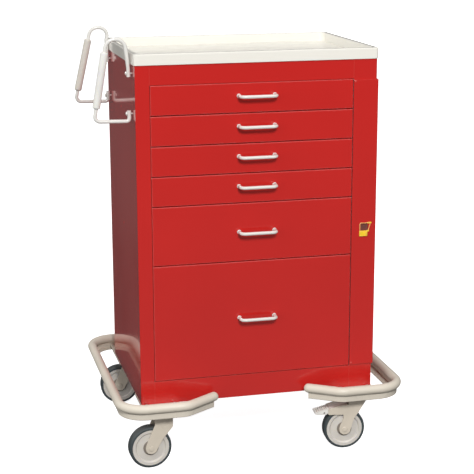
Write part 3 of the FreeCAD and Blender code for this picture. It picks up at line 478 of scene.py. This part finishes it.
def make_materials():
    """All finishes by name. Those that CAD nodes take have the name of their slot."""
    return {
        "red_enamel": finish(
            "red_enamel", RED, 0.1, coat=0.6, coat_roughness=0.03, patch=(2.6, 0.035),
            smudge=(6.0, 0.07), grain=(420.0, 0.00003), edge=(0.0013, 0.5),
            edge_tint=(0.8, 0.16, 0.13), chips=0.25, chip_colour=(0.42, 0.3, 0.28), dust=0.04),
        "ivory_enamel": finish(
            "ivory_enamel", (0.825, 0.8, 0.73), 0.16, coat=0.4, patch=(3.0, 0.03),
            smudge=(7.0, 0.1), grain=(420.0, 0.00003), edge=(0.0015, 0.3),
            edge_tint=(0.9, 0.89, 0.84), chips=0.35, chip_colour=(0.42, 0.38, 0.32), dust=0.06),
        "handle_enamel": finish(
            "handle_enamel", (0.74, 0.725, 0.685), 0.14, coat=0.5, patch=(9.0, 0.03),
            speckle=(1200.0, 0.02), chips=0.2, chip_colour=(0.4, 0.38, 0.35)),
        "grip_vinyl": finish(
            "grip_vinyl", (0.735, 0.725, 0.69), 0.34, patch=(14.0, 0.05), smudge=(30.0, 0.16),
            grain=(1500.0, 0.00006), edge=(0.0015, 0.1), subsurface=0.08),
        # A darker copy of the grip vinyl for the back grip: painted shade.
        "grip_vinyl_shaded": finish(
            "grip_vinyl_shaded", (0.60, 0.565, 0.51), 0.36, patch=(14.0, 0.06),
            smudge=(30.0, 0.16), grain=(1500.0, 0.00006), edge=(0.0015, 0.1), subsurface=0.08),
        "bumper_vinyl": finish(
            "bumper_vinyl", (0.685, 0.625, 0.525), 0.36, patch=(5.0, 0.06),
            speckle=(700.0, 0.04), smudge=(14.0, 0.2), grain=(900.0, 0.00008),
            edge=(0.002, 0.15), dust=0.12),
        "bumper_enamel": finish(
            "bumper_enamel", (0.675, 0.615, 0.52), 0.24, coat=0.2, patch=(5.0, 0.05),
            grain=(520.0, 0.00005), edge=(0.001, 0.4), chips=0.6,
            chip_colour=(0.2, 0.16, 0.12), dust=0.12),
        "caster_enamel": finish(
            "caster_enamel", (0.67, 0.595, 0.49), 0.26, coat=0.2, patch=(16.0, 0.06),
            grain=(600.0, 0.00006), edge=(0.001, 0.4), chips=0.7,
            chip_colour=(0.22, 0.18, 0.14), dust=0.18),
        # A paler copy of the caster enamel for the brake pedal: painted light on its tread.
        "pedal_enamel_painted_light": finish(
            "pedal_enamel_painted_light", (0.82, 0.79, 0.74), 0.45, patch=(30.0, 0.06),
            grain=(700.0, 0.00006), edge=(0.0012, 0.5), edge_tint=(0.9, 0.88, 0.84), chips=0.8,
            chip_colour=(0.25, 0.21, 0.17)),
        "wheel_plastic": finish(
            "wheel_plastic", (0.66, 0.62, 0.565), 0.38, patch=(26.0, 0.07),
            speckle=(1100.0, 0.035), smudge=(40.0, 0.15), grain=(1100.0, 0.00006),
            edge=(0.0012, 0.25), subsurface=0.05),
        "tread_rubber": finish(
            "tread_rubber", (0.047, 0.06, 0.064), 0.5, patch=(20.0, 0.16),
            speckle=(800.0, 0.05), smudge=(50.0, 0.25), grain=(700.0, 0.00015),
            edge=(0.002, 0.3), edge_tint=(0.16, 0.17, 0.17), dust=0.5,
            dust_colour=(0.2, 0.19, 0.175)),
        "zinc": finish(
            "zinc", (0.72, 0.71, 0.69), 0.26, metallic=1.0, patch=(60.0, 0.1),
            grain=(900.0, 0.00004), edge=(0.0006, 0.3)),
        "zinc_steel": finish(
            "zinc_steel", (0.56, 0.57, 0.58), 0.36, metallic=1.0, patch=(6.0, 0.08),
            cells=110.0, grain=(800.0, 0.00004), edge=(0.0008, 0.3), dust=0.1),
        "drawer_enamel": finish(
            "drawer_enamel", (0.60, 0.585, 0.55), 0.3, coat=0.15, patch=(4.0, 0.05),
            grain=(480.0, 0.00005), edge=(0.0009, 0.35), chips=0.3,
            chip_colour=(0.3, 0.3, 0.3), dust=0.1),
        "seal_plastic": finish(
            "seal_plastic", (0.92, 0.62, 0.03), 0.28, patch=(90.0, 0.08),
            grain=(1800.0, 0.00006), edge=(0.0006, 0.4), edge_tint=(0.99, 0.74, 0.38),
            subsurface=0.15),
        # The drawer fronts' pale top and left edges are a painted highlight.
        "drawer_front_red": finish(
            "drawer_front_red", RED, 0.1, coat=0.6, coat_roughness=0.03, patch=(3.1, 0.04),
            smudge=(6.5, 0.07), grain=(420.0, 0.00003), edge=(0.0032, 1.0),
            edge_tint=(0.88, 0.42, 0.4), highlight_side=(-0.7, 0.0, 0.7), chips=0.2,
            chip_colour=(0.42, 0.3, 0.28), dust=0.04),
        # A lighter, pinker copy of the cabinet red for rivet heads: a painted highlight that makes
        # them show.
        "rivet_red_painted_highlight": finish(
            "rivet_red_painted_highlight", (0.62, 0.08, 0.07), 0.16, coat=0.5, patch=(90.0, 0.1),
            edge=(0.0006, 0.5)),
        "rivet_dark": finish(
            "rivet_dark", (0.22, 0.2, 0.18), 0.32, metallic=1.0, patch=(120.0, 0.15),
            edge=(0.0004, 0.4)),
        "seal_loop": finish(
            "seal_loop", (0.86, 0.5, 0.16), 0.25, patch=(160.0, 0.16), grain=(1800.0, 0.00005),
            edge=(0.0004, 0.3), edge_tint=(0.98, 0.78, 0.5), subsurface=0.1),
        # Dark grey-brown for the rings round the wheel hubs: painted shade.
        "guard_painted_shade": finish(
            "guard_painted_shade", (0.25, 0.215, 0.18), 0.4, patch=(60.0, 0.12),
            grain=(1100.0, 0.00005), edge=(0.0008, 0.4), dust=0.1,
            dust_colour=(0.4, 0.37, 0.33)),
        # Dark red-brown for the staple in the seal's window: painted shade.
        "shadow_gap": finish("shadow_gap", (0.17, 0.05, 0.038), 0.5, patch=(20.0, 0.2)),
    }


def dress_cad():
    """Gives every CAD node its finish. Their shapes and places stay as they are."""
    for part in frame["record"]["subparts"]:
        item = frame["nodes"][part["node"]]
        item.data.materials.clear()
        named = SPECIAL_FINISH.get(part["node"], part["material_slot"])
        item.data.materials.append(materials[named])
        soften(item.data, CAD_SHARP_ANGLE)


# ---------------------------------------------------------------- mesh helpers

def soften(mesh, angle):
    mesh.polygons.foreach_set("use_smooth", [True] * len(mesh.polygons))
    mesh.set_sharp_from_angle(angle=math.radians(angle))


def made(name, mesh_maker, body, material):
    """A new piece from a bmesh, riding on a body and standing under a slot."""
    mesh = bpy.data.meshes.new(name)
    form = bmesh.new()
    mesh_maker(form)
    bmesh.ops.recalc_face_normals(form, faces=form.faces)
    form.to_mesh(mesh)
    form.free()
    piece = bpy.data.objects.new(name, mesh)
    bpy.context.scene.collection.objects.link(piece)
    mesh.materials.append(material)
    soften(mesh, PIECE_SHARP_ANGLE)
    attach(piece, body)
    return piece


def wire(name, points, radius, body, material):
    """A round strand with closed ends through points in mm, along a curve."""
    curve = bpy.data.curves.new(name, "CURVE")
    curve.dimensions = "3D"
    curve.bevel_depth = radius * MM
    curve.bevel_resolution = 4
    curve.resolution_u = 8
    curve.use_fill_caps = True
    spline = curve.splines.new("NURBS")
    spline.points.add(len(points) - 1)
    for point, spot in zip(spline.points, points):
        point.co = (*(Vector(spot) * MM), 1.0)
    spline.order_u = 3
    spline.use_endpoint_u = True
    strand = bpy.data.objects.new(name, curve)
    bpy.context.scene.collection.objects.link(strand)
    curve.materials.append(material)
    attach(strand, body)


def turned(form, profile, place, axis, sides):
    """A solid of revolution: profile is (radius, distance along the axis), all in mm."""
    turn = Vector((0, 0, 1)).rotation_difference(Vector(axis)).to_matrix()
    origin = Vector(place) * MM
    rings = []
    for radius, along in profile:
        if radius == 0:
            rings.append([form.verts.new(origin + turn @ Vector((0, 0, along * MM)))])
            continue
        ring = []
        for step in range(sides):
            angle = 2 * math.pi * step / sides
            spot = Vector((radius * math.cos(angle), radius * math.sin(angle), along)) * MM
            ring.append(form.verts.new(origin + turn @ spot))
        rings.append(ring)
    for first, second in zip(rings, rings[1:]):
        for step in range(sides):
            after = (step + 1) % sides
            corners = [first[step % len(first)], first[after % len(first)],
                       second[after % len(second)], second[step % len(second)]]
            unique = list(dict.fromkeys(corners))
            if len(unique) > 2:
                form.faces.new(unique)


def dome(form, place, axis, size, sides=24):
    """A plain domed head of a radius and height, as a rivet or a carriage bolt has."""
    radius, height = size
    crown = [(radius * math.sin(angle), height * (0.1 + 0.9 * math.cos(angle)))
             for angle in (0.25, 0.5, 0.75, 1.0, 1.2, 1.38)]
    turned(form, [(0, height), *crown, (radius, 0), (0, 0)], place, axis, sides)


def button_head(form, place, axis, size):
    """A low domed head of a radius and height, with a round socket in its crown."""
    radius, height = size
    hole = radius * 0.36
    socket = [(0, height * 0.35), (hole, height * 0.35), (hole * 1.08, height * 0.97)]
    crown = [(radius * math.sin(angle), height * (0.12 + 0.88 * math.cos(angle) ** 0.8))
             for angle in (0.55, 0.8, 1.05, 1.25, 1.42)]
    turned(form, [*socket, *crown, (radius, height * 0.12), (radius, 0), (0, 0)], place, axis,
           sides=32)


def hexagon(form, place, axis, corner, height, bore):
    """A hexagon nut with chamfered corners and a domed locking ring."""
    turned(form, [(bore, 0), (corner * 0.94, 0), (corner, height * 0.12), (corner, height * 0.72),
                  (corner * 0.92, height * 0.84), (bore * 1.35, height * 0.84),
                  (bore * 1.25, height), (bore, height)], place, axis, sides=6)


def rounded_plate(form, low, high, soft, segments):
    """A block with all its edges rounded, between two corners in mm."""
    middle = [(a + b) / 2 * MM for a, b in zip(low, high)]
    size = [(b - a) * MM for a, b in zip(low, high)]
    corners = bmesh.ops.create_cube(form, size=1.0)["verts"]
    for corner in corners:
        corner.co = Vector(corner.co[axis] * size[axis] + middle[axis] for axis in range(3))
    edges = list({edge for corner in corners for edge in corner.link_edges})
    bmesh.ops.bevel(form, geom=edges, offset=soft * MM, segments=segments, affect="EDGES",
                    profile=0.5)


def in_cart(x, y, z):
    """A place given from the cabinet's centre, in mm, in the cart's frame."""
    return (x + CENTRE_X / MM, y, z)


# ---------------------------------------------------------------- pieces

def add_caster_bolts():
    """Sixteen carriage bolts with nuts, four to a caster."""
    top = BODY_LOW / MM
    tip = -BOLT_STACK - BOLT_PAST_STACK
    shank = [(0, 0), (BOLT_RADIUS, 0), (BOLT_RADIUS, tip + BOLT_TIP), (BOLT_TIP_RADIUS, tip),
             (0, tip)]

    def shape(form):
        for side in (-1, 1):
            for end in (-1, 1):
                for step_x in (-BOLT_X, BOLT_X):
                    for step_y in (-BOLT_Y, BOLT_Y):
                        place = in_cart(side * CASTER_X + step_x, end * CASTER_Y + step_y, top)
                        under = (place[0], place[1], top - BOLT_STACK)
                        dome(form, place, (0, 0, 1), BOLT_HEAD)
                        turned(form, shank, place, (0, 0, 1), SMALL_SIDES)
                        hexagon(form, under, (0, 0, -1), *BOLT_NUT, BOLT_RADIUS)
    piece = made("caster_bolt_set", shape, "root", materials["zinc"])
    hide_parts("caster_bolts")


def add_handle_screws():
    """Two socket screws through the feet of each push handle."""
    low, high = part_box("handle_screws")
    reach = (high.x - low.x) / MM - SCREW_SHORTER
    shank = [(0, 0), (SCREW_RADIUS, 0), (SCREW_RADIUS, reach), (0, reach)]
    places = []
    for node in ("push_handle_front", "push_handle_back"):
        handle_low, handle_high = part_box(node)
        for drop in SCREW_DROPS:
            places.append((low.x / MM + SCREW_SEAT, (handle_low.y + handle_high.y) / 2 / MM,
                           BODY_TOP / MM - drop))

    def shape(form):
        for place in places:
            button_head(form, place, (-1, 0, 0), SCREW_HEAD)
            turned(form, shank, place, (1, 0, 0), SMALL_SIDES)
    piece = made("handle_screw_set", shape, "root", materials["handle_enamel"])
    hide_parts("handle_screws")


def add_lock_bar_trim():
    """The bar's two rivets, and a thin lip along the edge beside the drawers."""
    low, high = (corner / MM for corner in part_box("lock_bar"))

    def rivets(form):
        for height in BAR_RIVET_HEIGHTS:
            dome(form, in_cart(BAR_RIVET_X, low.y + BAR_RIVET_SUNK, height), (0, -1, 0), BAR_RIVET)
    # The rivets take the lighter copy of the red: a painted highlight.
    made("lock_bar_rivets", rivets, "lock_bar", materials["rivet_red_painted_highlight"])

    def lip(form):
        front = FRONT_Y / MM
        rounded_plate(form, (low.x + LIP_ACROSS[0], front - LIP_PROUD[0], low.z + LIP_END_GAP),
                      (low.x + LIP_ACROSS[1], front - LIP_PROUD[1], high.z - LIP_END_GAP),
                      LIP_SOFT, segments=2)
    made("lock_bar_lip", lip, "lock_bar", materials["red_enamel"])


def add_back_rivets():
    """A row of rivets down each side of the back panel."""
    outer = max(BACK_Y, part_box("back_panel")[1].y) / MM
    x = HALF_WIDTH / MM - BACK_RIVET_IN
    low = BODY_LOW / MM + BACK_RIVET_END
    high = BODY_TOP / MM - BACK_RIVET_END

    def shape(form):
        for side in (-1, 1):
            for row in range(BACK_RIVET_ROWS):
                height = low + (high - low) * row / (BACK_RIVET_ROWS - 1)
                dome(form, in_cart(side * x, outer - BACK_RIVET_SUNK, height), (0, 1, 0),
                     BACK_RIVET)
    # The back rivets take the lighter copy of the red: a painted highlight.
    made("back_rivets", shape, "root", materials["rivet_red_painted_highlight"])


def add_seal():
    """The breakaway seal: a ribbed tag with two end flags, and a thin loop round the window."""
    low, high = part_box("breakaway_seal")
    x0, z0 = low.x / MM, low.z / MM
    front, face = low.y / MM, high.y / MM
    inner, outer = TAG_FRAME_IN, TAG_FRAME_IN + TAG_FRAME_WIDTH
    width, height = TAG_WIDTH, TAG_HEIGHT

    def shape(form):
        rounded_plate(form, (x0, front + TAG_SUNK, z0), (x0 + width, face, z0 + height),
                      TAG_SOFT, segments=3)
        for x1, z1, x2, z2 in ((inner, inner, width - inner, outer),
                               (inner, height - outer, width - inner, height - inner),
                               (inner, outer, outer, height - outer),
                               (width - outer, outer, width - inner, height - outer)):
            rounded_plate(form, (x0 + x1, front, z0 + z1), (x0 + x2, front + TAG_RELIEF, z0 + z2),
                          TAG_FRAME_SOFT, segments=2)
        for step in range(TAG_RIBS):
            x = x0 + TAG_RIB_X + step * TAG_RIB_PITCH
            rounded_plate(form, (x, front + TAG_RIB_SUNK, z0 + TAG_RIB_HEIGHTS[0]),
                          (x + TAG_RIB_WIDTH, front + TAG_RELIEF, z0 + TAG_RIB_HEIGHTS[1]),
                          TAG_RIB_SOFT, segments=1)
        for (x1, depth1, z1), (x2, depth2, z2), soft in FLAGS:
            rounded_plate(form, (x0 + x1, face - depth1, z0 + z1),
                          (x0 + x2, face - depth2, z0 + z2), soft, segments=2)
    tag = made("seal_tag", shape, "lock_bar", materials["seal_plastic"])
    run = [(x0 + x, face - LOOP_DEPTH - depth, z0 + z) for x, depth, z in LOOP]
    wire("seal_loop", run, LOOP_RADIUS, "lock_bar", materials["seal_loop"])
    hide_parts("breakaway_seal")


def caster_place(label, x, y, z):
    """A place in a caster's own frame, as it stands at rest, in the cart's frame."""
    side, end = CORNERS[label]
    angle = math.radians(CASTER_TURNS[label])
    turn_x = x * math.cos(angle) - y * math.sin(angle)
    turn_y = x * math.sin(angle) + y * math.cos(angle)
    return in_cart(side * CASTER_X + turn_x, end * CASTER_Y + turn_y, z)


def caster_axis(label, outward):
    """The direction of a caster's axle, towards one of its two ends (1 or -1)."""
    angle = math.radians(CASTER_TURNS[label])
    return (-math.sin(angle) * outward, math.cos(angle) * outward, 0)


def add_axle_ends():
    """Each caster's axle nut with its washer, the axle's head and dark hub rings of painted shade.
    """
    for label in CORNERS:
        def nut(form, label=label):
            axis = caster_axis(label, 1)
            place = caster_place(label, -TRAIL, FORK_HALF - WASHER_SUNK, WHEEL_RADIUS)
            lifted = tuple(a + b * NUT_LIFT for a, b in zip(place, axis))
            turned(form, WASHER, place, axis, AXLE_SIDES)
            hexagon(form, lifted, axis, *AXLE_NUT)
            turned(form, AXLE_TIP, lifted, axis, AXLE_TIP_SIDES)
        made(f"caster_{label}_axle_nut", nut, f"caster_{label}_swivel", materials["zinc"])

        def head(form, label=label):
            place = caster_place(label, -TRAIL, -FORK_HALF - AXLE_HEAD_PLACE, WHEEL_RADIUS)
            dome(form, place, caster_axis(label, -1), AXLE_HEAD, AXLE_SIDES)
        made(f"caster_{label}_axle_head", head, f"caster_{label}_swivel",
             materials["caster_enamel"])

        # Dark rings on both faces of the wheel round the hub: painted shade in its recess.
        def guards(form, label=label):
            for outward in (-1, 1):
                place = caster_place(label, -TRAIL, outward * GUARD_FACE, WHEEL_RADIUS)
                turned(form, GUARD, place, caster_axis(label, outward), GUARD_SIDES)
        made(f"caster_{label}_hub_shade_rings", guards, f"caster_{label}_roller",
             materials["guard_painted_shade"])


def add_pedal_trim():
    """The brake pedal's rivet, and the ribs across its tread."""
    def rivet(form):
        for outward in (-1, 1):
            place = caster_place("front_right", PEDAL_RIVET_X, outward * PEDAL_RIVET_HALF,
                                 PEDAL_RIVET_Z)
            dome(form, place, caster_axis("front_right", outward), PEDAL_RIVET)
    made("brake_pedal_rivet", rivet, "brake_pedal", materials["rivet_dark"])

    def ribs(form):
        long, wide, high = RIB_HALF
        for step in range(RIBS):
            x = RIB_X - RIB_PITCH * step
            level = PEDAL_Z + PEDAL_SLOPE * (x - PEDAL_X)
            start = len(form.verts)
            rounded_plate(form, (x - long, -wide, -high), (x + long, wide, high), RIB_SOFT,
                          segments=3)
            form.verts.ensure_lookup_table()
            for vert in form.verts[start:]:
                along, across, up = vert.co.x / MM - x, vert.co.y / MM, vert.co.z / MM
                spot = caster_place("front_right", x + along, across,
                                    level + up + RIB_TILT * along)
                vert.co = Vector(spot) * MM
    # The ribs take the pedal's paler enamel, which paints light on them.
    made("brake_pedal_ribs", ribs, "brake_pedal", materials["pedal_enamel_painted_light"])


# ---------------------------------------------------------------- the scene

materials = make_materials()
dress_cad()
add_caster_bolts()
add_handle_screws()
add_lock_bar_trim()
add_back_rivets()
add_seal()
add_axle_ends()
add_pedal_trim()
add_world()
add_lamps()
add_floor()
add_camera()
bpy.context.scene.view_settings.view_transform = "Standard"
